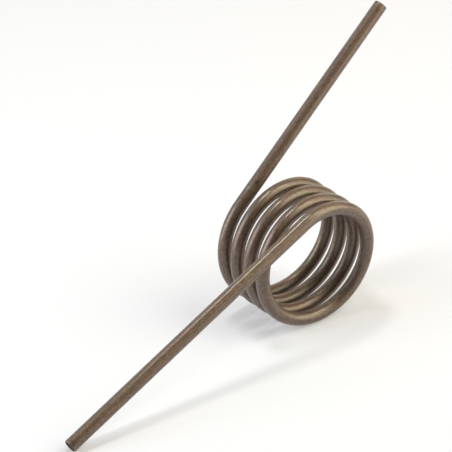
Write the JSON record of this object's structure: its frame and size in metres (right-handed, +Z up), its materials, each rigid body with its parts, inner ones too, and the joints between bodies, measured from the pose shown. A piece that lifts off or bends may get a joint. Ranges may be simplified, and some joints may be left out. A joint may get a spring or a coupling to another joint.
{
  "type": "torsion spring",
  "caption": "Torsion spring of round steel wire: an open right-hand cylindrical coil with a straight leg leaving each end on its tangent, lying as it rests on a table.",
  "frame": {"origin": "middle of the coil, on its axis", "axes": "+Y along the coil's axis, from the long leg's end of the coil to the short leg's end; +Z up from the surface that the spring lies on; +X towards the side that the short leg leans to"},
  "size_m": [0.0694, 0.0178, 0.0401],
  "materials": {
    "spring_steel": "drawn and stress-relieved spring steel wire, satin, with a brown-grey temper film and fine die lines along the wire"
  },
  "bodies": {
    "root": {"spring_wire": "spring_steel"}
  },
  "joints": []
}
